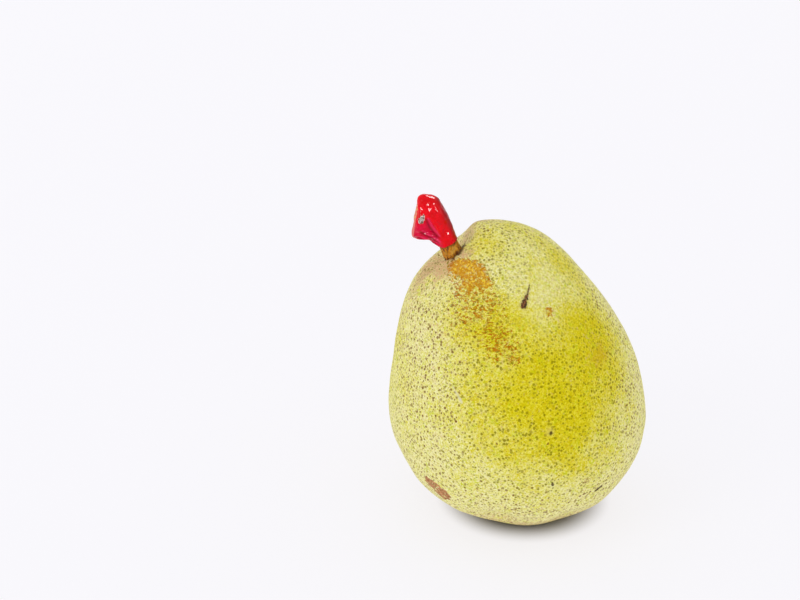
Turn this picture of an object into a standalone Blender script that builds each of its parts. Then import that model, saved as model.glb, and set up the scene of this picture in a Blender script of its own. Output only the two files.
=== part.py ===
"""A large winter pear standing on its base, with a short thick stalk dipped in red sealing wax.

Four pieces: the fruit (flesh and skin, one solid), the woody stem, the wax cap on the stem's tip
and the dried calyx in the basin under the fruit.
Metres, +Z up. The model ends with its lowest flat spots on z = 0 and its bounding box centred on the Z axis.
"""

import math

import bmesh
import bpy
from mathutils import Vector

MM = 0.001
GAP = 0.3  # mm, left between pieces that touch

# ---------------------------------------------------------------- fruit, mm
CENTRE_Z = 40.0  # height of the point the radii are measured from
# Radius from that point at polar angles 0 (top) to 180 degrees (bottom), every 22.5 degrees.
SHOULDER_SIDE = (58.6, 51.5, 43.9, 42.1, 42.8, 44.0, 43.8, 42.2, 40.0)  # towards +X
STALK_SIDE = (58.6, 53.8, 46.6, 40.8, 40.4, 42.0, 41.8, 39.6, 40.0)  # towards -X
LEAN = 5.9  # how far the top leans towards -X
LEAN_POWER = 1.5
FRUIT_HEIGHT = 98.0
OVAL = 0.008  # seen from above the fruit is slightly oval
THREE_SIDED = 0.006

BASIN_DEPTH = 7.0  # eye basin under the fruit
BASIN_RADIUS = 9.5
PIT_DEPTH = 1.8  # the pit that holds the calyx, in the middle of the basin
PIT_RADIUS = 5.0
LOBES = 5  # low ribs round the basin, which the fruit stands on
LOBE_HEIGHT = 1.8
LOBE_PHASE = math.radians(-78.0)  # one lobe faces the front, a little to the right
LOBE_RADIUS = 14.5
LOBE_SPREAD = 7.5
BASE_DROP = 1.25  # how much the ring of lobes is broadened downwards
HEEL_DROP = 2.2  # the lobes under the stalk's side come down to the floor too
SETTLE = 0.5  # how much of the lobes is pressed flat where they rest

# ---------------------------------------------------------------- stalk, mm
STALK_POLAR = math.radians(17.0)  # where the stalk leaves the fruit, from its centre
STALK_AZIMUTH = math.radians(206.0)
STALK_AXIS = Vector((-0.40, -0.08, 0.913)).normalized()
STALK_MOUTH = Vector((-23.2, -7.7, 95.2))  # centre of the wax cap's mouth
CAVITY_DEPTH = 6.0
CAVITY_BEHIND = 4.5  # the hollow is deepest behind the stalk, and its front lip hugs the stalk
CAVITY_RIGHT, CAVITY_LEFT = 5.8, 8.5
CAVITY_FRONT, CAVITY_BACK = 3.6, 14.0
CAVITY_POWER = 2.6
SHOULDER_RISE = 1.5  # the fleshy fold beside the stalk
SHOULDER_AT = 12.0
SHOULDER_WIDTH = 6.0
LIP_RISE, LIP_AT, LIP_WIDTH = 1.4, 4.0, 4.5  # the flesh swells where it closes round the stalk
# (distance along the stalk from the wax's mouth, radius)
STALK_RADII = (
    (-14.5, 2.1),
    (-11.0, 2.7),
    (-5.5, 2.8),
    (-2.5, 2.75),
    (-0.9, 2.7),
    (0.1, 2.3),
    (1.2, 2.2),
    (7.0, 2.2),
    (12.0, 2.0),
    (13.6, 1.5),
)

# ---------------------------------------------------------------- wax cap, mm
# The broad, hoof-like end of the stalk under its coat of wax, section by section from the mouth:
# (reach to the left, height there, reach to the right, height there, half depth)
WAX_SECTIONS = (
    (2.95, -0.6, 2.9, -0.3, 2.9),
    (4.4, 1.8, 3.05, 1.5, 3.1),
    (5.9, 4.1, 3.2, 3.4, 3.3),
    (8.3, 5.3, 3.35, 5.0, 3.4),
    (9.3, 6.7, 3.5, 6.8, 3.5),
    (7.6, 9.8, 3.5, 9.0, 3.7),
    (5.6, 13.0, 3.4, 11.4, 3.7),
    (3.9, 15.8, 3.2, 13.6, 3.4),
    (2.4, 17.9, 2.7, 15.4, 2.4),
    (0.6, 18.1, 0.6, 17.2, 0.6),
)

# ---------------------------------------------------------------- calyx, mm
SEPALS = 5
SEPAL_LENGTH = 6.6  # from the middle to a tip, seen from below
SEPAL_NOTCH = 2.9
SEPAL_DROOP = 3.2  # how far the tips hang below the middle
CALYX_THICKNESS = 1.1
CALYX_PHASE = math.radians(-42.0)


def smooth(x):
    x = min(1.0, max(0.0, x))
    return x * x * (3 - 2 * x)


def cosine_series(values):
    """The cosines that pass through values at equal steps of 0 to 180 degrees."""
    n = len(values) - 1
    series = []
    for k in range(n + 1):
        total = sum(
            v * math.cos(math.pi * k * j / n) * (0.5 if j in (0, n) else 1.0)
            for j, v in enumerate(values)
        )
        series.append(total * 2 / n * (0.5 if k in (0, n) else 1.0))
    return series


def through(rows, t):
    """The values at t, where row k stands at t = k, by a cubic through the rows (Catmull-Rom)."""
    t = min(len(rows) - 1.0, max(0.0, t))
    k = min(int(t), len(rows) - 2)
    t -= k
    a, b, c, d = rows[max(k - 1, 0)], rows[k], rows[k + 1], rows[min(k + 2, len(rows) - 1)]
    return [
        0.5
        * (
            2 * q
            + (r - p) * t
            + (2 * p - 5 * q + 4 * r - u) * t**2
            + (3 * q - p - 3 * r + u) * t**3
        )
        for p, q, r, u in zip(a, b, c, d)
    ]


SHOULDER_SERIES = cosine_series(SHOULDER_SIDE)
STALK_SERIES = cosine_series(STALK_SIDE)


def fruit_radius(polar, azimuth):
    right = sum(c * math.cos(k * polar) for k, c in enumerate(SHOULDER_SERIES))
    left = sum(c * math.cos(k * polar) for k, c in enumerate(STALK_SERIES))
    share = 0.5 * (1 + math.cos(azimuth))
    belt = math.sin(polar) ** 2
    uneven = OVAL * math.cos(2 * azimuth + 2.6) + THREE_SIDED * math.cos(3 * azimuth - 0.9)
    return (share * right + (1 - share) * left) * (1 + belt * uneven)


def fruit_point(s, around):
    """A point of the skin, in mm. s runs from 0 at the calyx to 1 at the stalk."""
    # Rings lie closer together at both ends, where the cavities are.
    s = s - 0.62 * math.sin(2 * math.pi * s) / (2 * math.pi)
    polar = math.pi * (1 - s)
    way = Vector(
        (
            math.sin(polar) * math.cos(around),
            math.sin(polar) * math.sin(around),
            math.cos(polar),
        )
    )
    # The top of the mesh is turned so that its pole lies where the stalk is.
    turn = STALK_POLAR * math.cos(polar / 2) ** 2
    hinge = Vector((-math.sin(STALK_AZIMUTH), math.cos(STALK_AZIMUTH), 0))
    way = (
        way * math.cos(turn)
        + hinge.cross(way) * math.sin(turn)
        + hinge * hinge.dot(way) * (1 - math.cos(turn))
    )
    theta = math.acos(max(-1.0, min(1.0, way.z)))
    phi = math.atan2(way.y, way.x)
    p = way * fruit_radius(theta, phi)
    p.z += CENTRE_Z
    p.x -= LEAN * (max(0.0, p.z) / FRUIT_HEIGHT) ** LEAN_POWER

    # Underside: the eye basin, its pit, and the hollows between the lobes.
    if theta > math.pi / 2:
        rho = math.hypot(p.x, p.y)
        around_base = math.atan2(p.y, p.x)
        ring = math.exp(-(((rho - LOBE_RADIUS) / LOBE_SPREAD) ** 2))
        p.z += BASIN_DEPTH * math.exp(-((rho / BASIN_RADIUS) ** 2.6))
        p.z += PIT_DEPTH * math.exp(-((rho / PIT_RADIUS) ** 4))
        hollow = 0.5 * (1 - math.cos(LOBES * (around_base - LOBE_PHASE)))
        p.z += LOBE_HEIGHT * hollow * ring
        p.z -= (BASE_DROP + HEEL_DROP * 0.5 * (1 - math.cos(around_base))) * ring

    # Top: the stalk cavity, sunk along the stalk's own axis, with a fleshy fold on its shoulder side.
    if theta < math.pi / 2:
        off = p - STALK_MOUTH
        across = off - STALK_AXIS * off.dot(STALK_AXIS)
        x, y = across.x, across.y - CAVITY_BEHIND
        x /= CAVITY_RIGHT if x > 0 else CAVITY_LEFT
        y /= CAVITY_BACK if y > 0 else CAVITY_FRONT
        sink = CAVITY_DEPTH * math.exp(-((x * x + y * y) ** (CAVITY_POWER / 2)))
        rho = max(across.length, 1e-6)
        fold = math.exp(-(((rho - SHOULDER_AT) / SHOULDER_WIDTH) ** 2))
        fold *= SHOULDER_RISE * smooth(0.5 + 0.8 * across.x / rho)
        lip = math.exp(-(((rho - LIP_AT) / LIP_WIDTH) ** 2))
        lip *= LIP_RISE * smooth(0.45 - 0.9 * across.y / rho)
        p = p + STALK_AXIS * (fold + lip - sink)

    p.z = max(0.0, p.z - SETTLE)  # it rests on small flat spots
    return p


def stalk_frame(s):
    """Centre of the stalk at s mm from the wax's mouth. It bows a little."""
    bow = Vector((0.915, 0.0, 0.40))
    return STALK_MOUTH + STALK_AXIS * s + bow * (-0.012 * s * s if s < 0 else -0.004 * s * s)


LEFT = Vector((-0.915, 0.0, -0.40))
LEFT = (LEFT - STALK_AXIS * LEFT.dot(STALK_AXIS)).normalized()
FRONT = STALK_AXIS.cross(LEFT)


def stalk_point(s, around, grow=0.0):
    """A point of the stalk, in mm. s runs from 0 at its root in the fruit to 1 at its tip in the wax."""
    # The first and last tenth of the rings close the ends.
    reach = min(1.0, max(0.0, (s - 0.1) / 0.8))
    at, radius = through(STALK_RADII, reach * (len(STALK_RADII) - 1))
    at += grow * (2 * reach - 1)
    radius = (radius + grow) * (1 + 0.04 * math.cos(3 * around + 0.7))
    close = min(1.0, s / 0.1, (1 - s) / 0.1)
    return (
        stalk_frame(at)
        + LEFT * radius * close * math.cos(around)
        + FRONT * radius * close * math.sin(around)
    )


def wax_point(s, around):
    """A point of the wax, in mm. s runs from 0 in the middle of its mouth to 1 at its top."""
    reach = min(1.0, max(0.0, (s - 0.1) / 0.86))
    left, left_up, right, right_up, deep = through(
        WAX_SECTIONS, reach * (len(WAX_SECTIONS) - 1)
    )
    c, d = math.cos(around), math.sin(around)
    close = min(1.0, s / 0.1, (1 - s) / 0.04)
    across = 0.5 * (left - right) + 0.5 * (left + right) * c * close
    up = 0.5 * (left_up + right_up) + 0.5 * (left_up - right_up) * c * close
    # The broad end on the left is as deep as the rest; the right side is rounder.
    blunt = 1 + 0.12 * (2 * abs(c * d)) ** 2
    return STALK_MOUTH + STALK_AXIS * up + LEFT * across + FRONT * deep * d * close * blunt


def calyx_point(s, around):
    """A thin five-pointed star, curled down. s runs from 0 under its middle to 1 on top of it."""
    # 0 at the middle, 1 at the rim, on both faces
    out = 1 - abs(2 * s - 1)
    star = abs(math.cos(SEPALS / 2 * (around - CALYX_PHASE))) ** 1.6
    rim = SEPAL_NOTCH + (SEPAL_LENGTH - SEPAL_NOTCH) * star
    rho = rim * out
    droop = SEPAL_DROOP * (rho / SEPAL_LENGTH) ** 2
    half = 0.5 * CALYX_THICKNESS * math.sqrt(max(0.0, 1 - out**2.5))
    half = half if s > 0.5 else -half * (1.0 + 0.9 * (1 - out) ** 2)
    z = CENTRE_Z_CALYX + half - droop
    return Vector((rho * math.cos(around), rho * math.sin(around), z))


# The calyx's middle sits just under the roof of the pit.
ROOF = fruit_point(0.0, 0.0)
CENTRE_Z_CALYX = ROOF.z - GAP - 0.5 * CALYX_THICKNESS


def from_sphere(name, segments, rings, shape):
    """A UV sphere whose points are moved to shape(s, around): s 0 at the bottom pole and 1 at the top one."""
    bm = bmesh.new()
    bmesh.ops.create_uvsphere(bm, u_segments=segments, v_segments=rings, radius=1.0)
    for vert in bm.verts:
        polar = math.acos(max(-1.0, min(1.0, vert.co.z)))
        vert.co = shape(1 - polar / math.pi, math.atan2(vert.co.y, vert.co.x)) * MM
    mesh = bpy.data.meshes.new(name)
    bm.to_mesh(mesh)
    bm.free()
    mesh.shade_smooth()
    return bpy.data.objects.new(name, mesh)


def material(name, colour, roughness):
    made = bpy.data.materials.new(name)
    made.use_nodes = True
    shader = made.node_tree.nodes["Principled BSDF"]
    shader.inputs["Base Color"].default_value = (*colour, 1.0)
    shader.inputs["Roughness"].default_value = roughness
    shader.inputs["Metallic"].default_value = 0.0
    return made


def cut(target, cutter):
    modifier = target.modifiers.new("socket", "BOOLEAN")
    modifier.operation = "DIFFERENCE"
    modifier.solver = "EXACT"
    modifier.object = cutter


def main():
    for old in list(bpy.data.objects):
        bpy.data.objects.remove(old, do_unlink=True)
    pieces = bpy.data.collections.new("pear")
    helpers = bpy.data.collections.new("cutters")
    for collection in (pieces, helpers):
        bpy.context.scene.collection.children.link(collection)

    fruit = from_sphere("fruit", 60, 46, fruit_point)
    stem = from_sphere("stem", 20, 20, stalk_point)
    wax_cap = from_sphere("wax_cap", 32, 26, wax_point)
    calyx = from_sphere("calyx", 50, 12, calyx_point)
    socket = from_sphere(
        "stem_socket", 20, 20, lambda s, around: stalk_point(s, around, GAP)
    )

    fruit.data.materials.append(material("skin", (0.62, 0.62, 0.10), 0.45))
    stem.data.materials.append(material("bark", (0.25, 0.12, 0.03), 0.85))
    wax_cap.data.materials.append(material("sealing_wax", (0.72, 0.005, 0.02), 0.18))
    calyx.data.materials.append(material("dry_sepal", (0.07, 0.045, 0.025), 0.9))

    for obj in (fruit, stem, wax_cap, calyx):
        pieces.objects.link(obj)
    helpers.objects.link(socket)
    socket.hide_render = True
    socket.display_type = "WIRE"
    cut(fruit, socket)
    cut(wax_cap, socket)

    # The whole pear is moved so that its bounding box is centred on the Z axis and it stands on z = 0.
    points = [v.co for obj in (fruit, stem, wax_cap, calyx) for v in obj.data.vertices]
    shift = Vector(
        (
            -(min(p.x for p in points) + max(p.x for p in points)) / 2,
            -(min(p.y for p in points) + max(p.y for p in points)) / 2,
            -min(p.z for p in points),
        )
    )
    root = bpy.data.objects.new("pear_root", None)
    pieces.objects.link(root)
    for obj in (fruit, stem, wax_cap, calyx, socket):
        for vert in obj.data.vertices:
            vert.co += shift
        obj.parent = root


main()
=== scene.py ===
"""Looks of the pear: a yellow-green winter pear with russet and freckles, its stalk dipped in red sealing wax.

Lengths in this file are millimetres until a mesh is made; the meshes are in metres, in the CAD frame.
"""

import math

import bmesh
import bpy
import numpy as np
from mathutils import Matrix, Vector


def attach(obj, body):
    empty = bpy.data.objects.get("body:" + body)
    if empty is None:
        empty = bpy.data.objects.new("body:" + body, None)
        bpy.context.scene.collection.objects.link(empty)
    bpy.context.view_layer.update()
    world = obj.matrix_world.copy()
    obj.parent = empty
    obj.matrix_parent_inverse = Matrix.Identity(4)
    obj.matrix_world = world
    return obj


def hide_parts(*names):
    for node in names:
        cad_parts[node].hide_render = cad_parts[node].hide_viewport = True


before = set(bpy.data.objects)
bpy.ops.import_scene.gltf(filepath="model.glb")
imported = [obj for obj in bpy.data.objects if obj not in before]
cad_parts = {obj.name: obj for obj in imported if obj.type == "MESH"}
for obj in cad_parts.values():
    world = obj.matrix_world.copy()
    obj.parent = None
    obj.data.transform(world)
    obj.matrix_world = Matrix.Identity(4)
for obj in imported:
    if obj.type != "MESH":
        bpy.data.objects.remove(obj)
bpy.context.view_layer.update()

MM = 0.001
SHIFT = np.array((-0.04, 0.21, 0.0))  # how far the CAD moved its pieces to centre the box

# ================================================================ shape of the fruit, as in the CAD
CENTRE_Z = 40.0
SHOULDER_SIDE = (58.6, 51.5, 43.9, 42.1, 42.8, 44.0, 43.8, 42.2, 40.0)
STALK_SIDE = (58.6, 53.8, 46.6, 40.8, 40.4, 42.0, 41.8, 39.6, 40.0)
LEAN, LEAN_POWER, FRUIT_HEIGHT = 5.9, 1.5, 98.0
OVAL, THREE_SIDED = 0.008, 0.006
BASIN_DEPTH, BASIN_RADIUS = 7.0, 9.5
PIT_DEPTH, PIT_RADIUS = 1.8, 5.0
LOBES, LOBE_HEIGHT, LOBE_PHASE = 5, 1.8, math.radians(-78.0)
LOBE_RADIUS, LOBE_SPREAD = 14.5, 7.5
BASE_DROP, HEEL_DROP, SETTLE = 1.25, 2.2, 0.5
STALK_POLAR, STALK_AZIMUTH = math.radians(17.0), math.radians(206.0)
CAVITY_DEPTH, CAVITY_BEHIND, CAVITY_POWER = 6.0, 4.5, 2.6
CAVITY_RIGHT, CAVITY_LEFT, CAVITY_FRONT, CAVITY_BACK = 5.8, 8.5, 3.6, 14.0
SHOULDER_RISE, SHOULDER_AT, SHOULDER_WIDTH = 1.5, 12.0, 6.0
LIP_RISE, LIP_AT, LIP_WIDTH = 1.4, 4.0, 4.5

FOOT_DENTS = (
    (-6.5, -31.0, 10.0, 4.8, 2.9),
    (-14.0, -29.5, 11.0, 5.0, 0.8),
    (14.5, -27.5, 9.0, 5.5, 1.5),
    (3.5, -29.5, 8.5, 5.0, 0.2),
)

AXIS = np.array((-0.40, -0.08, 0.913))
AXIS /= np.linalg.norm(AXIS)
MOUTH = np.array((-23.2, -7.7, 95.2))
LEFT = np.array((-0.915, 0.0, -0.40))
LEFT -= AXIS * LEFT.dot(AXIS)
LEFT /= np.linalg.norm(LEFT)
FRONT = np.cross(AXIS, LEFT)


def smooth(x):
    x = np.clip(x, 0.0, 1.0)
    return x * x * (3 - 2 * x)


def bell(distance, radius):
    return np.exp(-((distance / radius) ** 2))


def waves(points, wavelength, seed, count=36):
    """A smooth random field of about unit strength, from plane waves in random directions."""
    rng = np.random.default_rng(seed)
    way = rng.normal(size=(count, 3))
    way /= np.linalg.norm(way, axis=1)[:, None]
    way *= 2 * math.pi / (wavelength * rng.uniform(0.7, 1.4, count))[:, None]
    phase = rng.uniform(0, 2 * math.pi, count)
    total = np.zeros(len(points))
    for w, f in zip(way, phase):
        total += np.cos(points @ w + f)
    return total / math.sqrt(count / 2)


def cosine_series(values):
    n = len(values) - 1
    series = []
    for k in range(n + 1):
        total = sum(
            v * math.cos(math.pi * k * j / n) * (0.5 if j in (0, n) else 1.0)
            for j, v in enumerate(values)
        )
        series.append(total * 2 / n * (0.5 if k in (0, n) else 1.0))
    return series


def fruit_points(s, around):
    """Points of the skin. s runs from 0 at the calyx to 1 at the stalk; both are arrays."""
    s = s - 0.62 * np.sin(2 * math.pi * s) / (2 * math.pi)
    polar = math.pi * (1 - s)
    way = np.stack(
        (np.sin(polar) * np.cos(around), np.sin(polar) * np.sin(around), np.cos(polar)),
        axis=1,
    )
    turn = (STALK_POLAR * np.cos(polar / 2) ** 2)[:, None]
    hinge = np.array((-math.sin(STALK_AZIMUTH), math.cos(STALK_AZIMUTH), 0.0))
    way = (
        way * np.cos(turn)
        + np.cross(hinge, way) * np.sin(turn)
        + hinge * (way @ hinge)[:, None] * (1 - np.cos(turn))
    )
    theta = np.arccos(np.clip(way[:, 2], -1, 1))
    phi = np.arctan2(way[:, 1], way[:, 0])
    right = sum(c * np.cos(k * theta) for k, c in enumerate(cosine_series(SHOULDER_SIDE)))
    left = sum(c * np.cos(k * theta) for k, c in enumerate(cosine_series(STALK_SIDE)))
    share = 0.5 * (1 + np.cos(phi))
    uneven = OVAL * np.cos(2 * phi + 2.6) + THREE_SIDED * np.cos(3 * phi - 0.9)
    radius = (share * right + (1 - share) * left) * (1 + np.sin(theta) ** 2 * uneven)
    p = way * radius[:, None]
    p[:, 2] += CENTRE_Z

    # Gentle lumps of grown flesh, none where the fruit stands or round the stalk.
    calm = smooth((p[:, 2] - 3) / 9) * smooth((radius - 20) / 10)
    lump = 0.24 * waves(p, 46, 11) + 0.12 * waves(p, 21, 12) + 0.035 * waves(p, 8, 13)
    p += way * (lump * calm)[:, None]
    p[:, 0] -= LEAN * (np.maximum(0, p[:, 2]) / FRUIT_HEIGHT) ** LEAN_POWER

    under = theta > math.pi / 2
    rho = np.hypot(p[:, 0], p[:, 1])
    az = np.arctan2(p[:, 1], p[:, 0])
    ring = bell(rho - LOBE_RADIUS, LOBE_SPREAD)
    rise = BASIN_DEPTH * np.exp(-((rho / BASIN_RADIUS) ** 2.6))
    rise += PIT_DEPTH * np.exp(-((rho / PIT_RADIUS) ** 4))
    rise += LOBE_HEIGHT * 0.5 * (1 - np.cos(LOBES * (az - LOBE_PHASE))) * ring
    rise -= (BASE_DROP + HEEL_DROP * 0.5 * (1 - np.cos(az))) * ring
    # Fine creases run down into the basin.
    crease = np.abs(np.sin(LOBES * (az - LOBE_PHASE) + 0.5 * np.sin(3 * az + 1))) ** 0.35
    crease = (1 - crease) + 0.45 * np.sin(23 * az + 2 * np.sin(5 * az)) ** 2
    rise += 0.35 * crease * bell(rho - 8.5, 4.0)
    p[:, 2] += np.where(under, rise, 0)

    above = ~under
    off = p - MOUTH
    across = off - np.outer(off @ AXIS, AXIS)
    x, y = across[:, 0], across[:, 1] - CAVITY_BEHIND
    x = x / np.where(x > 0, CAVITY_RIGHT, CAVITY_LEFT)
    y = y / np.where(y > 0, CAVITY_BACK, CAVITY_FRONT)
    sink = CAVITY_DEPTH * np.exp(-((x * x + y * y) ** (CAVITY_POWER / 2)))
    rho = np.maximum(np.linalg.norm(across, axis=1), 1e-6)
    side = across / rho[:, None]
    fold = bell(rho - SHOULDER_AT, SHOULDER_WIDTH) * SHOULDER_RISE
    fold = fold * smooth(0.5 + 0.8 * side[:, 0])
    fold += bell(rho - LIP_AT, LIP_WIDTH) * LIP_RISE * smooth(0.45 - 0.9 * side[:, 1])
    # The skin dips into a narrow groove where it meets the stalk and puckers round it.
    groove = 0.6 * np.exp(-((rho / 3.7) ** 8))
    turn_of = np.arctan2(across @ FRONT, across @ LEFT)
    pucker = np.sin(7 * turn_of + 1.1) + 0.7 * np.sin(11 * turn_of + 0.3)
    pucker = 0.14 * pucker * bell(rho - 4.6, 1.9)
    p += np.outer(np.where(above, fold - sink - groove + pucker, 0), AXIS)
    # Two shallow dents divide the lobes that bulge over the foot in front.
    for x, y, z, radius, depth in FOOT_DENTS:
        near = bell(np.linalg.norm((p - (x, y, z)) * (1, 1, 0.7), axis=1), radius)
        p -= way * (depth * near)[:, None]
    p[:, 2] = np.maximum(0, p[:, 2] - SETTLE)
    return p


# ================================================================ mesh helpers
def sphere_grid(name, segments, rings, shape):
    """A mesh piece from a UV sphere whose points are moved to shape(s, around)."""
    bm = bmesh.new()
    bmesh.ops.create_uvsphere(bm, u_segments=segments, v_segments=rings, radius=1.0)
    mesh = bpy.data.meshes.new(name)
    bm.to_mesh(mesh)
    bm.free()
    co = np.empty(len(mesh.vertices) * 3, np.float32)
    mesh.vertices.foreach_get("co", co)
    co = co.reshape(-1, 3).astype(float)
    polar = np.arccos(np.clip(co[:, 2], -1, 1))
    s, around = 1 - polar / math.pi, np.arctan2(co[:, 1], co[:, 0])
    points = shape(s, around)
    mesh.vertices.foreach_set("co", ((points + SHIFT) * MM).astype(np.float32).ravel())
    mesh.update()
    mesh.shade_smooth()
    piece = bpy.data.objects.new(name, mesh)
    bpy.context.scene.collection.objects.link(piece)
    return piece, points, s, around


def paint(piece, name, values):
    """A number per vertex, which the piece's material reads."""
    attribute = piece.data.attributes.new(name, "FLOAT", "POINT")
    attribute.data.foreach_set("value", np.asarray(values, np.float32))


def spots(points, *places):
    """The sum of soft round spots, each (x, y, z, radius, strength)."""
    total = np.zeros(len(points))
    for x, y, z, radius, strength in places:
        total += strength * bell(np.linalg.norm(points - (x, y, z), axis=1), radius)
    return total


def rgb(r, g, b):
    """An sRGB colour, 0 to 255, as linear values with alpha."""
    linear = []
    for c in (r / 255, g / 255, b / 255):
        linear.append(c / 12.92 if c <= 0.04045 else ((c + 0.055) / 1.055) ** 2.4)
    return (*linear, 1.0)


# ================================================================ shader helpers
class Shader:
    """A Principled material and short calls that add nodes to it."""

    def __init__(self, name, **settings):
        self.material = bpy.data.materials.new(name)
        self.material.use_nodes = True
        self.tree = self.material.node_tree
        self.bsdf = self.tree.nodes["Principled BSDF"]
        for key, value in settings.items():
            self.bsdf.inputs[key.replace("_", " ")].default_value = value
        self.place = self.new("ShaderNodeTexCoord").outputs["Object"]
        self.mm = self.vmath("SCALE", self.place, factor=1000.0)

    def new(self, kind, **properties):
        node = self.tree.nodes.new(kind)
        for key, value in properties.items():
            setattr(node, key, value)
        return node

    def feed(self, socket, value):
        if isinstance(value, bpy.types.NodeSocket):
            self.tree.links.new(value, socket)
        else:
            socket.default_value = value

    def math(self, operation, a, b=0.0, c=0.0, clamp=False):
        node = self.new("ShaderNodeMath", operation=operation, use_clamp=clamp)
        for socket, value in zip(node.inputs, (a, b, c)):
            self.feed(socket, value)
        return node.outputs[0]

    def add(self, *values):
        total = values[0]
        for value in values[1:]:
            total = self.math("ADD", total, value)
        return total

    def times(self, *values):
        total = values[0]
        for value in values[1:]:
            total = self.math("MULTIPLY", total, value)
        return total

    def vmath(self, operation, a, b=(0, 0, 0), factor=1.0, scalar=False):
        node = self.new("ShaderNodeVectorMath", operation=operation)
        self.feed(node.inputs[0], a)
        if operation == "SCALE":
            self.feed(node.inputs["Scale"], factor)
        else:
            self.feed(node.inputs[1], b)
        return node.outputs[1 if scalar else 0]

    def step(self, value, low, high):
        """0 at low, 1 at high, smooth between; low may be the larger."""
        node = self.new("ShaderNodeMapRange", interpolation_type="SMOOTHSTEP")
        for key, given in (("Value", value), ("From Min", low), ("From Max", high)):
            self.feed(node.inputs[key], given)
        return node.outputs[0]

    def mix(self, a, b, share, blend="MIX"):
        node = self.new("ShaderNodeMix", data_type="RGBA", blend_type=blend)
        node.clamp_factor = True
        self.feed(node.inputs[0], share)
        self.feed(node.inputs[6], a)
        self.feed(node.inputs[7], b)
        return node.outputs[2]

    def read(self, name):
        return self.new("ShaderNodeAttribute", attribute_name=name).outputs["Fac"]

    def stretch(self, scale, turn=(0, 0, 0)):
        node = self.new("ShaderNodeMapping")
        self.feed(node.inputs["Vector"], self.mm)
        node.inputs["Scale"].default_value = scale
        node.inputs["Rotation"].default_value = turn
        return node.outputs[0]

    def noise(self, per_mm, detail=2.0, rough=0.5, distortion=0.0, vector=None, colour=False):
        node = self.new("ShaderNodeTexNoise")
        self.feed(node.inputs["Vector"], vector or self.mm)
        node.inputs["Scale"].default_value = per_mm
        node.inputs["Detail"].default_value = detail
        node.inputs["Roughness"].default_value = rough
        node.inputs["Distortion"].default_value = distortion
        return node.outputs[1 if colour else 0]

    def cells(self, per_mm, vector=None, randomness=1.0):
        node = self.new("ShaderNodeTexVoronoi", feature="F1")
        self.feed(node.inputs["Vector"], vector or self.mm)
        node.inputs["Scale"].default_value = per_mm
        node.inputs["Randomness"].default_value = randomness
        parts = self.new("ShaderNodeSeparateColor")
        self.feed(parts.inputs[0], node.outputs["Color"])
        return node.outputs["Distance"], parts.outputs[0], parts.outputs[1]

    def warped(self, amount, per_mm, detail=2.0):
        """The place in mm, pushed about by noise."""
        push = self.vmath("SUBTRACT", self.noise(per_mm, detail, colour=True), (0.5, 0.5, 0.5))
        return self.vmath("ADD", self.mm, self.vmath("SCALE", push, factor=amount * 2))

    def mark(self, a, b, radius_a, radius_b, soft, place=None):
        """A tapered streak from a to b: 1 inside, 0 outside."""
        a, b = np.array(a, float), np.array(b, float)
        from_a = self.vmath("SUBTRACT", place or self.mm, tuple(a))
        ba = b - a
        length2 = float(ba @ ba)
        if length2 < 1e-6:
            distance = self.vmath("LENGTH", from_a, scalar=True)
            return self.step(distance, radius_a + soft / 2, radius_a - soft / 2)
        t = self.vmath("DOT_PRODUCT", from_a, tuple(ba / length2), scalar=True)
        t = self.math("ADD", t, 0.0, clamp=True)
        near = self.new("ShaderNodeVectorMath", operation="SCALE")
        near.inputs[0].default_value = tuple(ba)
        self.feed(near.inputs["Scale"], t)
        distance = self.vmath("DISTANCE", from_a, near.outputs[0], scalar=True)
        radius = self.math("MULTIPLY_ADD", t, radius_b - radius_a, radius_a)
        inside = self.math("SUBTRACT", radius, distance)
        return self.step(inside, -soft / 2, soft / 2)

    def bump(self, height, depth_mm, normal=None):
        node = self.new("ShaderNodeBump")
        node.inputs["Strength"].default_value = 1.0
        node.inputs["Distance"].default_value = depth_mm * MM
        self.feed(node.inputs["Height"], height)
        if normal is not None:
            self.feed(node.inputs["Normal"], normal)
        return node.outputs[0]


# ================================================================ fruit
fruit, skin_at, _, _ = sphere_grid("pear_fruit", 324, 256, fruit_points)


def mouth_distance(points):
    off = points - MOUTH
    return np.linalg.norm(off - np.outer(off @ AXIS, AXIS), axis=1)


height = skin_at[:, 2]
from_stalk = mouth_distance(skin_at)
base_rho = np.hypot(skin_at[:, 0], skin_at[:, 1])
front_side = smooth((10 - skin_at[:, 1]) / 26)

# How pale the skin is: 0 deep gold, 1 cream. It pales away from a golden cheek in front.
GOLD = np.array((7.0, -38.0, 58.0))
pale = np.minimum(1, (np.linalg.norm(skin_at - GOLD, axis=1) - 5.5) / 38.0)
pale += spots(
    skin_at,
    (-14.0, -27.0, 78.0, 12.0, -0.44),
    (-24.0, -20.0, 80.0, 7.0, -0.15),
    (20.0, -20.0, 70.0, 11.0, -0.42),
    (11.0, -2.0, 90.0, 10.0, -0.62),
    (21.0, -3.0, 80.0, 8.0, -0.35),
    (-1.0, -27.0, 79.0, 8.0, 0.05),
    (-12.0, -13.0, 94.0, 8.0, -0.40),
    (-4.0, -4.0, 97.0, 7.0, -0.06),
    (18.0, -6.0, 84.0, 8.0, -0.25),
    (30.0, -8.0, 66.0, 8.0, -0.20),
    (-27.0, -24.0, 70.0, 10.0, 0.15),
    (26.0, -27.0, 55.0, 12.0, -0.18),
    (14.0, -38.0, 40.0, 10.0, -0.15),
    (-36.0, -12.0, 58.0, 9.0, -0.25),
    (6.0, -18.0, 86.0, 8.0, 0.10),
    (0.0, -2.0, 97.0, 12.0, -0.30),
    (24.0, -17.0, 68.6, 6.0, -0.28),
    (-36.5, -17.0, 46.0, 9.0, -0.22),
)
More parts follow.
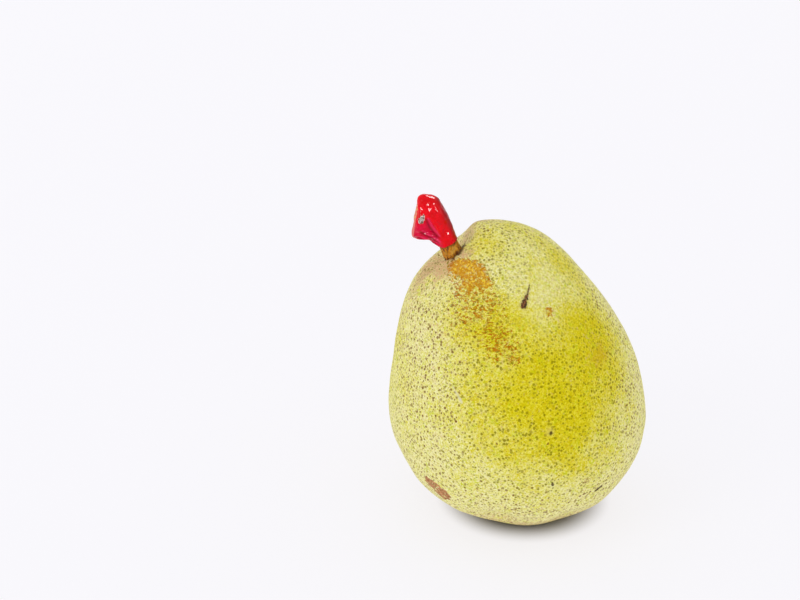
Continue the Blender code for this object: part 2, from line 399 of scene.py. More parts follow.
# The back was never in the same sun: broad clouds of gold and cream.
pale += (1 - front_side) * (0.50 * waves(skin_at, 58, 21) - 0.35)
pale += 0.06 * waves(skin_at, 15, 22)
paint(fruit, "pale", np.clip(pale, -0.2, 1.2))

# Russet: 1 solid, about 0.5 a broken net, 0 none.
russet = spots(
    skin_at,
    (-21.0, -14.0, 89.8, 4.0, 0.70),
    (-17.0, -16.0, 91.0, 3.4, 0.70),
    (-13.6, -18.2, 90.0, 2.6, 0.60),
    (-12.3, -21.0, 87.4, 2.4, 0.50),
    (-17.5, -20.0, 86.5, 3.0, 0.35),
    (-21.5, -19.5, 85.0, 4.5, 0.22),
    (-15.5, -22.5, 84.5, 5.0, 0.16),
    (-19.5, -24.0, 79.5, 8.5, 0.20),
    (-8.5, -24.0, 83.0, 5.5, 0.25),
    (-11.5, -28.0, 77.0, 8.0, 0.22),
    (-8.0, -30.5, 74.0, 4.5, 0.22),
    (-4.0, -32.3, 71.0, 4.6, 0.22),
    (-3.7, -34.0, 67.4, 2.2, 0.36),
    (-10.0, -33.0, 68.5, 4.5, 0.24),
    (7.0, -23.8, 79.2, 2.0, 0.72),
    (-24.0, -24.0, 74.0, 9.0, 0.12),
    (-17.2, -11.8, 93.4, 2.6, -0.55),
    (-22.0, 17.0, 88.0, 7.0, 0.45),
    (-27.0, 14.0, 78.0, 10.0, 0.4),
)
around_stalk = bell(from_stalk - 3, 4.0) * smooth((height - 60) / 20)
behind = smooth((skin_at[:, 1] + 9) / 6)
russet = np.maximum(russet, around_stalk * (0.10 + 0.22 * behind))
russet += 0.5 * bell(base_rho - 5, 5) * smooth((22 - height) / 10)
paint(fruit, "russet", np.clip(russet, 0, 1.1))

# Pinkish tan, where the skin is dull: the rim of the stalk hollow, the stalk's flank, the bottom.
tan = spots(
    skin_at,
    (-24.3, -9.5, 90.0, 4.5, 0.80),
    (-28.0, -1.0, 85.0, 5.5, 0.75),
    (-30.5, -3.0, 81.5, 5.0, 0.50),
    (-26.0, -12.0, 86.5, 4.5, 0.45),
    (-17.4, -12.0, 93.4, 2.8, 0.65),
    (-25.6, 5.5, 85.0, 8.0, 0.52),
    (-16.1, 4.9, 95.1, 6.5, 0.70),
    (-11.0, 5.0, 97.0, 7.0, 0.25),
    (-33.0, -6.0, 76.0, 7.0, 0.35),
    (-29.0, -21.0, 68.0, 11.0, 0.20),
    (12.0, -22.0, 80.0, 7.0, 0.10),
    (20.0, -22.0, 66.0, 6.0, 0.20),
    (33.0, -16.0, 50.0, 8.0, 0.12),
)
leftward = smooth(0.5 - (skin_at[:, 0] - MOUTH[0] - 1.5) / 3.0)
tan += around_stalk * (0.15 + 0.50 * np.maximum(leftward, behind)) + 0.62 * smooth((17 - height) / 13)
tan += (1 - front_side) * 0.20 * np.maximum(0, waves(skin_at, 30, 23))
paint(fruit, "tan", np.clip(tan, 0, 1))

# How many of the freckles are brown and small.
brown = spots(
    skin_at,
    (-31, -20, 66, 17, 0.85),
    (-30, -24, 52, 13, 0.60),
    (-30, -27, 36, 13, 0.60),
    (37, -10, 48, 14, 0.75),
    (33, -22, 34, 11, 0.65),
    (26, -8, 74, 10, 0.45),
)
brown += 0.80 * smooth((34 - height) / 18) + (1 - front_side) * 0.45
paint(fruit, "brown", np.clip(brown, 0, 1))
# Where the skin is clear, with few freckles.
clear = spots(skin_at, (6, -18, 86, 9, 0.8), (0, -25, 80, 6, 0.5), (14, -22, 76, 7, 0.4), (-2, -28, 77, 5, 0.3))
paint(fruit, "clear", np.clip(clear, 0, 0.85))
# Painted shade in the narrow gap round the stalk, stronger on its right and back.
turned_away = np.maximum(behind, smooth((skin_at[:, 0] - MOUTH[0]) / 2.5))
crevice_shade = smooth((5.9 - from_stalk) / 2.2) * (0.35 + 0.65 * turned_away)
crevice_shade = np.maximum(crevice_shade, spots(skin_at, (-18.7, 0.9, 90.0, 2.2, 1.0)))
# Painted shade: the skin is darkened towards the bottom, where the fruit stands on the floor.
paint(fruit, "foot_shade", smooth((9.5 - height) / 9.0))
paint(fruit, "crevice_shade", crevice_shade * smooth((height - 60) / 20))

skin = Shader("pear_skin", Roughness=0.5, IOR=1.45)
skin.bsdf.inputs["Specular IOR Level"].default_value = 0.05
skin.bsdf.inputs["Sheen Weight"].default_value = 0.035
skin.bsdf.inputs["Sheen Roughness"].default_value = 0.25
skin.bsdf.inputs["Sheen Tint"].default_value = (1.0, 0.99, 0.96, 1.0)

mottle = skin.noise(0.28, 3, 0.6)
grain = skin.noise(1.0, 2.5, 0.62)
fine = skin.noise(2.3, 2, 0.55)
pale_in = skin.read("pale")
pale_all = skin.add(
    pale_in,
    skin.math("MULTIPLY_ADD", mottle, 1.2, -0.60),
    skin.math("MULTIPLY_ADD", grain, 1.5, -0.75),
)
colour = skin.mix(rgb(220, 204, 8), rgb(226, 213, 44), skin.math("MULTIPLY", pale_all, 3.6, clamp=True))
colour = skin.mix(colour, rgb(234, 229, 108), skin.step(pale_all, 0.20, 0.68))
colour = skin.mix(colour, rgb(241, 236, 160), skin.step(pale_all, 0.52, 1.22))
# Small flecks of clearer green and of duller straw between the pores.
green = skin.step(skin.noise(0.42, 3, 0.6, 0.3, skin.vmath("ADD", skin.mm, (50.0, 9.0, 4.0))), 0.54, 0.68)
colour = skin.mix(colour, rgb(200, 214, 14), skin.times(green, 0.62))
straw = skin.step(skin.noise(1.05, 3, 0.65, 0.3, skin.vmath("ADD", skin.mm, (5.0, 39.0, 24.0))), 0.55, 0.66)
straw_colour = skin.mix(rgb(204, 158, 4), rgb(226, 198, 126), skin.step(pale_in, 0.15, 0.8))
colour = skin.mix(colour, straw_colour, skin.times(straw, 0.60))
# Fine grain of lighter and darker points.
speckle = skin.noise(1.6, 2.5, 0.7, 0.0, skin.vmath("ADD", skin.mm, (15.0, 3.0, 64.0)))
colour = skin.mix(colour, rgb(180, 164, 0), skin.times(skin.step(speckle, 0.52, 0.64), 0.50))
light_point = skin.mix(rgb(244, 232, 66), rgb(253, 249, 196), skin.step(pale_in, 0.0, 0.9))
colour = skin.mix(colour, light_point, skin.times(skin.step(speckle, 0.49, 0.37), 0.85))
tan_in = skin.read("tan")
tan_all = skin.add(tan_in, skin.math("MULTIPLY_ADD", mottle, 0.8, -0.40), skin.math("MULTIPLY_ADD", grain, 2.2, -1.10))
tan_all = skin.step(tan_all, 0.12, 0.95)
colour = skin.mix(colour, rgb(211, 170, 124), skin.times(tan_all, 0.85))

# Painted shade: darker towards the bottom of the fruit.
colour = skin.mix(colour, rgb(134, 118, 70), skin.times(skin.read("foot_shade"), 0.36))

# Freckles: the breathing pores of the skin, olive where it is golden and brown where it is pale.
# Each sits in a faint paler ring.
bent = skin.warped(0.22, 1.1)
brown_in = skin.read("brown")
far, pick, pick2 = skin.cells(0.90, bent)
size = skin.math("MULTIPLY_ADD", pick, 0.17, 0.26)
inside = skin.math("SUBTRACT", size, far)
halo = skin.step(inside, -0.26, -0.06)
crowd = skin.step(skin.noise(0.16, 2, 0.5), 0.28, 0.50)
strong = skin.times(skin.math("MULTIPLY_ADD", crowd, 0.25, 0.75), skin.math("MULTIPLY_ADD", pick2, 0.40, 0.60))
shown = skin.math("MULTIPLY_ADD", skin.read("clear"), -1.0, 1.0)
dot = skin.times(skin.step(inside, -0.08, 0.10), strong, shown)
brownish = skin.step(skin.add(pick, skin.times(brown_in, 0.9)), 0.85, 1.35)
olive = skin.mix(rgb(146, 134, 0), rgb(140, 130, 0), skin.step(pale_in, 0.05, 0.5))
dot_colour = skin.mix(olive, rgb(120, 72, 18), brownish)
halo_colour = skin.mix(rgb(232, 219, 24), rgb(248, 242, 172), skin.step(pale_in, 0.0, 0.9))
colour = skin.mix(colour, halo_colour, skin.times(halo, 0.34))
colour = skin.mix(colour, dot_colour, skin.times(dot, 0.90))
far2, pick3, pick4 = skin.cells(1.25, skin.vmath("ADD", bent, (31.0, 7.0, 13.0)))
size2 = skin.math("MULTIPLY_ADD", pick3, 0.22, 0.10)
fleck = skin.step(skin.math("SUBTRACT", size2, far2), -0.05, 0.10)
patchy = skin.step(skin.add(skin.noise(0.20, 3, 0.6), skin.times(brown_in, 0.30)), 0.46, 0.70)
fleck = skin.times(fleck, skin.math("MULTIPLY_ADD", patchy, 0.70, 0.25), shown)
fleck_colour = skin.mix(rgb(140, 128, 4), rgb(126, 80, 34), skin.step(skin.add(pick4, brown_in), 0.55, 1.15))
colour = skin.mix(colour, fleck_colour, skin.times(fleck, 0.78))
# A few bigger brown spots and short scuffs, mostly low on the fruit.
far3, pick5, pick6 = skin.cells(0.27, skin.warped(0.7, 0.5))
big = skin.step(skin.math("SUBTRACT", skin.math("MULTIPLY_ADD", pick5, 0.13, 0.02), far3), -0.03, 0.03)
big = skin.times(big, skin.step(skin.add(pick6, skin.times(brown_in, 0.5)), 0.75, 0.95))
colour = skin.mix(colour, rgb(128, 78, 36), skin.times(big, 0.8))

# Russet: solid beside the stalk, breaking into a net of short worm-like strokes.
strokes = skin.noise(0.72, 4, 0.64, 1.1, skin.stretch((0.85, 0.85, 1.6), (0.0, 0.30, 0.0)))
russet_in = skin.read("russet")
cork = skin.step(skin.math("MULTIPLY_ADD", russet_in, 0.50, strokes), 0.735, 0.785)
holes = skin.step(skin.noise(1.35, 3, 0.6, 0.4), 0.57, 0.63)
cork = skin.times(cork, skin.math("MULTIPLY_ADD", holes, -0.50, 1.0))
cork_colour = skin.mix(rgb(204, 138, 0), rgb(252, 214, 64), skin.step(skin.noise(1.25, 3, 0.68), 0.47, 0.64))
cork_colour = skin.mix(rgb(188, 110, 0), cork_colour, skin.step(skin.math("MULTIPLY_ADD", mottle, 0.9, russet_in), 0.75, 1.15))
cork_colour = skin.mix(cork_colour, rgb(208, 148, 78), skin.times(tan_all, 0.16))
colour = skin.mix(colour, cork_colour, skin.times(cork, 0.92))
# Loose dashes round the russet.
dashes = skin.noise(0.9, 3, 0.6, 0.6, skin.stretch((0.9, 0.9, 2.6), (0.0, 0.55, 0.0)))
dashes = skin.step(skin.math("MULTIPLY_ADD", russet_in, 0.26, dashes), 0.705, 0.740)
dashes = skin.times(dashes, skin.step(russet_in, 0.80, 0.50))
colour = skin.mix(colour, rgb(178, 98, 8), skin.times(dashes, skin.step(russet_in, 0.02, 0.20), 0.85))

# Painted shade: dark brown right against the stalk, in the narrow gap between stalk and skin.
crevice_shade = skin.step(skin.add(skin.read("crevice_shade"), skin.math("MULTIPLY_ADD", grain, 0.8, -0.4)), 0.3, 0.9)
colour = skin.mix(colour, rgb(78, 46, 26), skin.times(crevice_shade, 0.88))

# Single marks on the front.
ragged = skin.warped(0.55, 0.8, 3)
scar = skin.mark((1.0, -20.4, 86.6), (0.2, -22.6, 84.2), 0.10, 0.30, 0.3, skin.warped(0.25, 1.4))
scar = skin.math("MAXIMUM", scar, skin.mark((0.1, -22.8, 84.0), (-1.0, -24.9, 81.8), 0.35, 0.86, 0.4, skin.warped(0.8, 1.2)))
scar_halo = skin.mark((0.6, -21.6, 85.2), (-0.9, -24.8, 81.8), 0.6, 1.5, 1.1, ragged)
lumpy = skin.warped(1.5, 0.62, 3)
scab = skin.mark((-28.6, -25.4, 21.4), (-24.6, -28.0, 18.8), 2.1, 3.1, 0.5, lumpy)
scab = skin.math("MAXIMUM", scab, skin.mark((-27.0, -27.0, 21.0), (-22.8, -29.6, 22.2), 2.2, 0.6, 0.4, lumpy))
scab = skin.times(scab, skin.step(skin.noise(0.62, 3, 0.62, 0.5), 0.37, 0.42))
scratch = skin.mark((-22.3, -31.7, 58.0), (-19.6, -34.3, 53.9), 0.34, 0.50, 0.5, skin.warped(0.3, 0.6))
scratch2 = skin.mark((-24.6, -30.5, 60.0), (-23.6, -31.3, 57.6), 0.22, 0.22, 0.4)
pit = skin.mark((7.3, -39.9, 46.5), (7.3, -39.9, 46.5), 0.55, 0.55, 0.4, skin.warped(0.3, 1.2))
pit2 = skin.mark((22.2, -32.5, 21.2), (24.4, -31.0, 22.9), 0.35, 0.55, 0.3, skin.warped(0.4, 1.2))
pit3 = skin.mark((8.5, -40.7, 28.9), (7.9, -40.6, 30.2), 0.35, 0.40, 0.3, skin.warped(0.4, 1.2))
pit4 = skin.mark((19.0, -35.9, 28.0), (21.4, -34.6, 28.6), 0.9, 0.5, 0.8, ragged)
stain = skin.mark((23.6, -22.2, 64.8), (21.0, -24.5, 63.6), 2.6, 1.9, 4.5, skin.warped(1.6, 0.4))
colour = skin.mix(colour, rgb(206, 160, 24), skin.times(stain, 0.42))
colour = skin.mix(colour, rgb(196, 170, 116), skin.times(scar_halo, 0.35))
colour = skin.mix(colour, skin.mix(rgb(58, 30, 26), rgb(150, 88, 56), skin.step(fine, 0.45, 0.62)), skin.times(scar, 0.95))
scab_colour = skin.mix(rgb(152, 92, 52), rgb(206, 142, 98), skin.step(skin.noise(1.2, 3, 0.6), 0.36, 0.64))
colour = skin.mix(colour, scab_colour, skin.times(scab, 0.92))
colour = skin.mix(colour, rgb(226, 222, 206), skin.times(skin.math("MAXIMUM", scratch, scratch2), 0.62))
pit_halo = skin.mark((7.0, -39.9, 46.9), (7.0, -39.9, 46.9), 1.4, 1.4, 1.6, ragged)
colour = skin.mix(colour, rgb(222, 204, 110), skin.times(pit_halo, 0.45))
pits = skin.math("MAXIMUM", pit, skin.math("MAXIMUM", pit2, pit3))
colour = skin.mix(colour, rgb(166, 112, 50), skin.times(pit4, skin.step(fine, 0.44, 0.56), 0.75))
colour = skin.mix(colour, rgb(70, 42, 14), skin.times(pits, 0.88))
skin.feed(skin.bsdf.inputs["Base Color"], colour)

rough = skin.math("MULTIPLY_ADD", cork, 0.22, 0.48)
rough = skin.math("MULTIPLY_ADD", grain, 0.12, rough)
skin.feed(skin.bsdf.inputs["Roughness"], rough)

relief = skin.times(dot, -0.45)
relief = skin.add(relief, skin.times(cork, 0.5), skin.times(grain, 1.0), skin.times(fleck, -0.2))
relief = skin.add(relief, skin.times(scar, -3.5), skin.times(pits, -3.5), skin.times(scab, -0.8))
relief = skin.add(relief, skin.times(scratch, 0.4), skin.times(fine, 0.6))
skin.feed(skin.bsdf.inputs["Normal"], skin.bump(relief, 0.10))
fruit.data.materials.append(skin.material)

# ================================================================ stalk
STALK = np.array(
    (
        (-14.5, 2.1),
        (-11.0, 2.75),
        (-5.5, 3.0),
        (-3.4, 3.1),
        (-1.6, 2.95),
        (-0.1, 2.75),
        (0.9, 2.5),
        (7.0, 2.2),
        (12.0, 2.0),
        (13.6, 1.5),
    )
)


def stalk_points(s, around):
    reach = np.clip((s - 0.1) / 0.8, 0, 1)
    knots = np.linspace(0, 1, len(STALK))
    at = np.interp(reach, knots, STALK[:, 0])
    radius = np.interp(reach, knots, STALK[:, 1])
    close = np.minimum(1.0, np.minimum(s, 1 - s) / 0.1)
    c, d = np.cos(around), np.sin(around)
    flat = np.stack((at, radius * c, radius * d), axis=1)
    bark = 0.10 * waves(flat * (0.6, 1, 1), 2.6, 31) + 0.06 * waves(flat * (0.4, 1, 1), 1.1, 32)
    ridges = 0.07 * np.sin(9 * around + 0.5 * np.sin(at))
    radius = (radius * (1 + 0.04 * np.cos(3 * around + 0.7)) + bark + ridges) * close
    bow = np.array((0.915, 0.0, 0.40))
    middle = MOUTH + np.outer(at, AXIS)
    middle += np.outer(np.where(at < 0, -0.012, -0.004) * at * at, bow)
    return middle + np.outer(radius * c, LEFT) + np.outer(radius * d, FRONT)


stalk, stalk_at, _, _ = sphere_grid("pear_stem", 112, 132, stalk_points)
paint(stalk, "up", (stalk_at - MOUTH) @ AXIS)

bark = Shader("pear_bark", Roughness=0.7)
bark.bsdf.inputs["Specular IOR Level"].default_value = 0.25
up = bark.read("up")
streak = bark.noise(0.9, 4, 0.65, 0.4, bark.stretch((1.4, 1.4, 0.45), (0.0, -0.41, 0.0)))
blotch = bark.noise(0.42, 3, 0.6)
wood = bark.mix(rgb(120, 62, 10), rgb(216, 142, 24), bark.step(streak, 0.38, 0.58))
wood = bark.mix(wood, rgb(226, 176, 70), bark.times(bark.step(blotch, 0.52, 0.66), 0.6))
wood = bark.mix(wood, rgb(60, 28, 10), bark.times(bark.step(bark.noise(1.5, 3, 0.6), 0.56, 0.66), 0.8))
wood = bark.mix(wood, rgb(168, 140, 112), bark.times(bark.step(bark.noise(1.1, 3, 0.65), 0.58, 0.68), 0.3))
wood = bark.mix(wood, rgb(74, 34, 14), bark.times(bark.step(up, -0.8, 0.2), 0.6))
wood = bark.mix(wood, rgb(54, 28, 14), bark.times(bark.step(up, -3.2, -5.0), 0.85))
bark.feed(bark.bsdf.inputs["Base Color"], wood)
bark.feed(bark.bsdf.inputs["Roughness"], bark.math("MULTIPLY_ADD", streak, -0.3, 0.85))
bark.feed(bark.bsdf.inputs["Normal"], bark.bump(bark.add(streak, bark.times(blotch, 0.6)), 0.5))
stalk.data.materials.append(bark.material)

# ================================================================ sealing wax
WAX = np.array(
    (
        (3.05, 0.1, 3.0, 0.5, 3.0),
        (4.4, 2.1, 3.1, 2.0, 3.1),
        (5.9, 4.1, 3.2, 3.4, 3.3),
        (8.3, 5.3, 3.35, 5.0, 3.4),
        (9.3, 6.7, 3.5, 6.8, 3.6),
        (7.6, 9.8, 3.5, 9.0, 3.9),
        (5.6, 13.0, 3.4, 11.4, 3.75),
        (3.9, 15.8, 3.2, 13.6, 3.0),
        (2.4, 17.9, 2.7, 15.4, 2.0),
        (0.6, 18.1, 0.6, 17.2, 0.5),
    )
)


def rows_at(rows, t):
    """The rows read at t, by a cubic through them."""
    t = np.clip(t, 0, len(rows) - 1)
    k = np.minimum(t.astype(int), len(rows) - 2)
    f = (t - k)[:, None]
    a, b = rows[np.maximum(k - 1, 0)], rows[k]
    c, d = rows[k + 1], rows[np.minimum(k + 2, len(rows) - 1)]
    return 0.5 * (
        2 * b
        + (c - a) * f
        + (2 * a - 5 * b + 4 * c - d) * f**2
        + (3 * b - a - 3 * c + d) * f**3
    )


def wax_points(s, around):
    reach = np.clip((s - 0.1) / 0.86, 0, 1)
    left, left_up, right, right_up, deep = rows_at(WAX, reach * (len(WAX) - 1)).T
    c, d = np.cos(around), np.sin(around)
    close = np.minimum(1.0, np.minimum(s / 0.1, (1 - s) / 0.04))
    across = 0.5 * (left - right) + 0.5 * (left + right) * c * close
    up = 0.5 * (left_up + right_up) + 0.5 * (left_up - right_up) * c * close
    blunt = 1 + 0.12 * (2 * np.abs(c * d)) ** 2
    out = deep * d * close * blunt

    # The stalk is a round rod on the right; the web on its lower left is thinner and rippled.
    web = smooth((across - 1.2) / 1.8) * smooth((9.6 - up) / 3.0)
    out *= 1 - 0.30 * web
    facing = np.sign(out) * smooth(np.abs(out) / 1.0)
    ripple = np.sin(2 * math.pi * (up - 0.30 * across + 0.5 * np.sin(across * 0.8)) / 2.1)
    out += facing * 0.30 * ripple * web
    # A crease divides rod and web, and soft swellings run up the rod.
    crease = bell(across - (1.7 + 0.25 * np.sin(up * 0.7)), 0.45)
    crease *= smooth((up - 3.0) / 1.5) * smooth((12.5 - up) / 2.0)
    out -= facing * 0.60 * crease
    swell = np.cos(2 * math.pi * (across + 1.3) / 2.5) * smooth((up - 9.0) / 3.0)
    out += facing * 0.14 * swell * smooth((17.5 - up) / 2.0)
    p = MOUTH + np.outer(up, AXIS) + np.outer(across, LEFT) + np.outer(out, FRONT)
    uneven = 0.07 * waves(p, 4.5, 41) + 0.04 * waves(p, 2.0, 42)
    lean = np.outer(np.cos(around) * close, LEFT) + np.outer(d * close, FRONT)
    p += lean * (uneven * smooth(s / 0.15))[:, None]
    # The mouth has a slightly rolled, uneven lip.
    lip = bell(s - 0.115, 0.02)
    p += lean * (lip * (0.12 + 0.10 * np.sin(3 * around) + 0.06 * np.sin(7 * around + 1)))[:, None]
    return p


wax, wax_at, _, _ = sphere_grid("pear_wax", 220, 200, wax_points)
wax_off = wax_at - MOUTH
wax_up, wax_left, wax_out = wax_off @ AXIS, wax_off @ LEFT, wax_off @ FRONT
paint(wax, "up", wax_up)
paint(wax, "left", wax_left)
# Where the wax has worn off to show grey bark, on the side that faces forward.
along = 0.66 * (wax_up - 12.1) - 0.75 * (wax_left - 3.9)
over = 0.75 * (wax_up - 12.1) + 0.66 * (wax_left - 3.9)
worn = bell(np.hypot(along / 1.20, over / 0.62), 1.50) * smooth(wax_out / 1.0)
paint(wax, "worn", worn)
edge_line = np.interp(wax_up, (5.3, 6.7, 9.8, 13.0, 15.8, 17.9), (8.3, 9.3, 7.6, 5.6, 3.9, 2.4))
end_face = smooth((wax_left - edge_line + 0.65) / 0.4) * smooth((wax_up - 5.6) / 1.0)
paint(wax, "end_face", end_face * smooth((16.5 - wax_up) / 2))

# Painted highlights along the folds and painted shade beside them, as lines of (left, up) in the wax's own frame.
FOLDS = (
    ((1.9, 11.6), (2.2, 8.8), (1.2, 4.6), 0.32),
    ((5.2, 8.4), (3.6, 5.2), (1.8, 2.6), 0.30),
    ((7.6, 6.9), (5.2, 4.9), (3.0, 2.2), 0.22),
)
fold_highlight = np.zeros(len(wax_up))
fold_shade = np.zeros(len(wax_up))
for start, middle, end, width in FOLDS:
    for t in np.linspace(0, 1, 25):
        x = (1 - t) ** 2 * start[0] + 2 * t * (1 - t) * middle[0] + t**2 * end[0]
        y = (1 - t) ** 2 * start[1] + 2 * t * (1 - t) * middle[1] + t**2 * end[1]
        fold_highlight = np.maximum(fold_highlight, bell(np.hypot(wax_left - x, wax_up - y), width))
        away = np.hypot(wax_left - x - 0.7, wax_up - y + 0.3)
        fold_shade = np.maximum(fold_shade, bell(away, width * 1.6))
paint(wax, "fold_highlight", fold_highlight)
paint(wax, "fold_shade", fold_shade * (1 - fold_highlight))

seal = Shader("pear_sealing_wax", Roughness=0.12)
seal.bsdf.inputs["Specular IOR Level"].default_value = 0.13
seal_up, seal_left = seal.read("up"), seal.read("left")
cloud = seal.noise(0.35, 3, 0.55)
red = seal.mix(rgb(226, 0, 12), rgb(246, 0, 22), seal.step(cloud, 0.38, 0.62))
# Painted shade: darker towards the rod's right side, away from the key light. Crimson in the web.
red = seal.mix(red, rgb(140, 0, 8), seal.times(seal.step(seal_left, -1.7, -3.3), 0.85))
in_web = seal.times(seal.step(seal_left, 0.8, 2.6), seal.step(seal_up, 12.5, 9.0))
red = seal.mix(red, rgb(222, 0, 62), seal.times(in_web, 0.9))
thick = seal.step(seal.noise(0.7, 3, 0.6, 0.5), 0.50, 0.68)
red = seal.mix(red, rgb(184, 0, 24), seal.times(thick, 0.35))
# Painted shade beside the folds, then painted highlights along their edges.
red = seal.mix(red, rgb(112, 0, 24), seal.times(seal.read("fold_shade"), 0.65))
red = seal.mix(red, rgb(246, 56, 112), seal.times(seal.read("fold_highlight"), 0.75))
face = seal.read("end_face")
grit = seal.noise(1.6, 4, 0.65)
face_on = seal.times(seal.step(seal.add(face, seal.math("MULTIPLY_ADD", grit, 0.8, -0.4)), 0.35, 0.70), 0.85)
red = seal.mix(red, rgb(232, 132, 118), face_on)
speck = seal.times(seal.step(grit, 0.50, 0.58), seal.step(face, 0.10, 0.6), seal.step(seal_up, 10.5, 13.0))
red = seal.mix(red, rgb(224, 196, 120), seal.times(speck, 0.9))
worn_in = seal.read("worn")
bare = seal.step(seal.math("MULTIPLY_ADD", grit, 1.3, worn_in), 1.02, 1.16)
bare_colour = seal.mix(rgb(84, 76, 48), rgb(244, 240, 230), seal.step(seal.noise(1.9, 3, 0.65), 0.44, 0.56))
red = seal.mix(red, bare_colour, seal.times(bare, 0.92))
seal.feed(seal.bsdf.inputs["Base Color"], red)
dull = seal.math("MAXIMUM", bare, face_on)
seal.feed(seal.bsdf.inputs["Roughness"], seal.math("MULTIPLY_ADD", dull, 0.5, 0.11))
seal_relief = seal.add(
    seal.times(seal.noise(0.7, 2, 0.5), 0.5),
    seal.times(bare, -1.2),
    seal.times(seal.times(bare, seal.noise(3.0, 3, 0.6)), 2.5),
)
seal.feed(seal.bsdf.inputs["Normal"], seal.bump(seal_relief, 0.14))
wax.data.materials.append(seal.material)

# ================================================================ calyx
SEPALS = 5
CALYX_PHASE = math.radians(-42.0)
CALYX_TOP = float(skin_at[height > 0][np.argmin(base_rho[height > 0] + 9 * (height[height > 0] > 30)), 2])


def calyx_points(s, around):
    out = 1 - np.abs(2 * s - 1)
    turned = around - CALYX_PHASE + 0.10 * np.sin(2 * around + 0.4)
    star = np.abs(np.cos(SEPALS / 2 * turned)) ** 1.5
    which = np.floor((turned + math.pi / SEPALS) / (2 * math.pi / SEPALS)).astype(int) % SEPALS
    length = np.array((6.5, 5.6, 6.3, 6.6, 5.9))[which]
    rim = 2.9 + (length - 2.9) * star
    rho = rim * out
    curl = np.array((3.2, 2.2, 3.5, 2.7, 3.0))[which]
    droop = curl * (rho / 6.6) ** 2
    half = 0.42 * np.sqrt(np.maximum(0, 1 - out**2.5))
    # A ridge runs down the middle of each sepal, and its sides roll up.
    spine = 0.35 * bell(np.sin(SEPALS / 2 * turned), 0.25) * smooth((rho - 2.4) / 2)
    crumple = 0.12 * np.sin(11 * around + 2 * rho) * smooth(rho / 5)
    z = CALYX_TOP - 0.75 - droop + spine + crumple
    z += np.where(s > 0.5, half, -half)
    # The middle is a deep, rough cup.
    z += np.where(s < 0.5, 0.55 * bell(rho, 1.2) - 0.35 * bell(rho - 2.1, 0.6), 0)
    return np.stack((rho * np.cos(around), rho * np.sin(around), z), axis=1)


calyx, calyx_at, _, _ = sphere_grid("pear_calyx", 220, 64, calyx_points)
paint(calyx, "out", np.hypot(calyx_at[:, 0], calyx_at[:, 1]))

dry = Shader("pear_dry_sepal", Roughness=0.85)
dry.bsdf.inputs["Specular IOR Level"].default_value = 0.2
fibre = dry.noise(1.6, 4, 0.65, 0.5)
husk = dry.mix(rgb(46, 32, 22), rgb(112, 84, 56), dry.step(fibre, 0.36, 0.66))
husk = dry.mix(husk, rgb(150, 124, 92), dry.times(dry.step(dry.read("out"), 4.2, 6.4), 0.6))
husk = dry.mix(husk, rgb(22, 15, 10), dry.times(dry.step(dry.read("out"), 2.6, 0.8), 0.8))
dry.feed(dry.bsdf.inputs["Base Color"], husk)
dry.feed(dry.bsdf.inputs["Roughness"], dry.math("MULTIPLY_ADD", fibre, 0.25, 0.7))
dry.feed(dry.bsdf.inputs["Normal"], dry.bump(fibre, 0.5))
calyx.data.materials.append(dry.material)

# Dried stamens: a ring of short bent threads inside the sepals.
rng = np.random.default_rng(7)
threads = bpy.data.curves.new("pear_stamens", "CURVE")
threads.dimensions = "3D"
threads.bevel_depth = 0.13 * MM
threads.bevel_resolution = 2
threads.use_fill_caps = True
for k in range(17):
    angle = 2 * math.pi * (k + rng.uniform(-0.35, 0.35)) / 17
    reach, drop, twist = rng.uniform(0.5, 1.5), rng.uniform(1.4, 2.5), rng.uniform(-0.5, 0.5)
    spline = threads.splines.new("POLY")
    spline.points.add(6)
    for j, point in enumerate(spline.points):
        t = j / 6
        rho = 1.7 + reach * math.sin(t * 1.9) - 0.7 * t * t
        turned = angle + twist * t
        at = np.array((rho * math.cos(turned), rho * math.sin(turned), CALYX_TOP - 1.0 - drop * t))
        point.co = (*((at + SHIFT) * MM), 1.0)
        point.radius = 1.0 if j < 6 else 1.9
stamens = bpy.data.objects.new("pear_stamens", threads)
bpy.context.scene.collection.objects.link(stamens)
thread = Shader("pear_stamen", Roughness=0.85)
thread.bsdf.inputs["Specular IOR Level"].default_value = 0.2
thread_noise = thread.noise(2.0, 3, 0.6)
thread.feed(
    thread.bsdf.inputs["Base Color"],
    thread.mix(rgb(40, 26, 16), rgb(104, 74, 44), thread.step(thread_noise, 0.35, 0.65)),
)
thread.feed(thread.bsdf.inputs["Normal"], thread.bump(thread_noise, 0.2))
threads.materials.append(thread.material)

for piece, slot, node in (
    (fruit, "skin", "fruit"),
    (stalk, "bark", "stem"),
    (wax, "sealing_wax", "wax_cap"),
    (calyx, "dry_sepal", "calyx"),
    (stamens, "dry_sepal", None),
):
    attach(piece, "root")
    if node:
        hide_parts(node)

# ================================================================ floor, light, camera
floor_mesh = bpy.data.meshes.new("floor")
bm = bmesh.new()
bmesh.ops.create_grid(bm, x_segments=8, y_segments=8, size=4.0)
bm.to_mesh(floor_mesh)
bm.free()
floor = bpy.data.objects.new("floor", floor_mesh)
bpy.context.scene.collection.objects.link(floor)
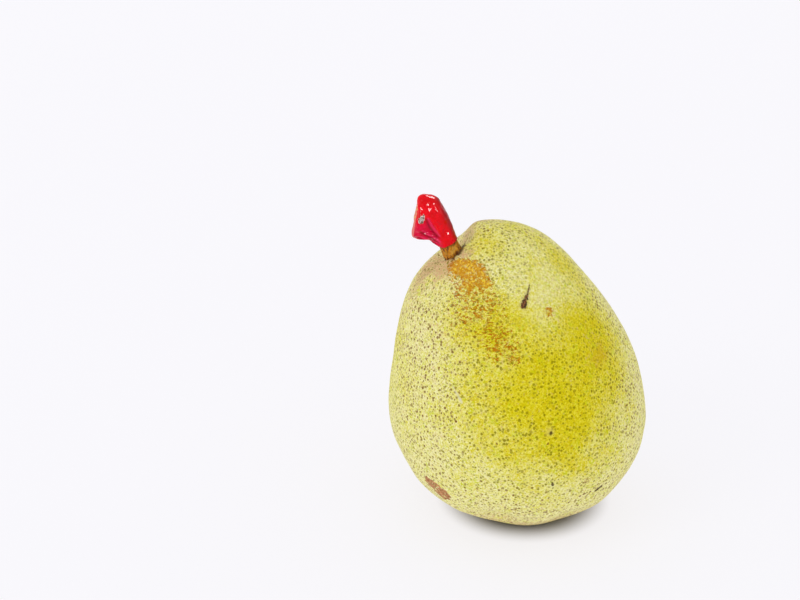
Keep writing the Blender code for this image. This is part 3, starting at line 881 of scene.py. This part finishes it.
# The floor glows though it is no lamp; the glow fades where the fruit stands, a painted shadow round the fruit.
paper = Shader("floor_paper", Roughness=0.7)
paper.bsdf.inputs["Specular IOR Level"].default_value = 0.1
paper_noise = paper.noise(0.004, 2, 0.5)
paper.bsdf.inputs["Emission Color"].default_value = (0.97, 0.96, 1.0, 1.0)
flat_place = paper.vmath("MULTIPLY", paper.vmath("SUBTRACT", paper.mm, (3.0, 1.5, 0.0)), (1.0, 1.0, 0.0))
floor_glow = paper.step(paper.vmath("LENGTH", flat_place, scalar=True), 18.0, 30.0)
white = paper.mix(rgb(130, 130, 131), rgb(132, 132, 133), paper_noise)
paper.feed(paper.bsdf.inputs["Base Color"], paper.mix(rgb(176, 176, 172), white, floor_glow))
paper.feed(paper.bsdf.inputs["Emission Strength"], paper.times(floor_glow, 0.765))
floor_mesh.materials.append(paper.material)

world = bpy.data.worlds.new("tent")
bpy.context.scene.world = world
world.use_nodes = True
sky = world.node_tree.nodes["Background"]
sky.inputs["Color"].default_value = (0.98, 0.975, 1.0, 1.0)
sky.inputs["Strength"].default_value = 0.83


def softbox(name, place, aim, size, power, tint=(1.0, 1.0, 1.0)):
    data = bpy.data.lights.new(name, "AREA")
    data.shape = "RECTANGLE"
    data.size, data.size_y = size
    data.energy = power
    data.color = tint
    lamp = bpy.data.objects.new(name, data)
    way = np.array(aim, float) - np.array(place, float)
    lamp.location = place
    lamp.rotation_mode = "QUATERNION"
    lamp.rotation_quaternion = Vector(way).to_track_quat("-Z", "Y")
    bpy.context.scene.collection.objects.link(lamp)
    return lamp


TARGET = (0.0, 0.0, 0.05)
softbox("key", (-0.95, -0.75, 0.85), TARGET, (0.6, 0.6), 2.2)

# Reflector cards that only the wax's gloss sees: they add no light to the skin or the floor.
shiny = bpy.data.collections.new("shiny")
shiny.objects.link(wax)
TIP = (-0.03, -0.01, 0.107)
for name, place, size, power in (
    ("card_left", (-1.0, -0.79, 0.46), (0.22, 0.26), 12.0),
    ("card_middle", (0.46, -1.13, 0.60), (0.30, 0.36), 24.0),
    ("card_right", (0.98, -0.66, 0.61), (0.36, 0.40), 28.0),
    ("card_back", (0.32, 0.9, 0.95), (0.5, 0.3), 12.0),
):
    card = softbox(name, place, TIP, size, power)
    card.visible_diffuse = False
    card.light_linking.receiver_collection = shiny

camera_data = bpy.data.cameras.new("camera")
camera_data.lens = 75.0
camera_data.sensor_width = 36.0
camera_data.clip_start, camera_data.clip_end = 0.01, 50.0
camera = bpy.data.objects.new("camera", camera_data)
camera.location = (-0.03808, -0.4814, 0.28687)
camera.rotation_euler = (math.radians(90 - 24), 0.0, 0.0)
bpy.context.scene.collection.objects.link(camera)
bpy.context.scene.camera = camera
bpy.context.scene.view_settings.view_transform = "Standard"
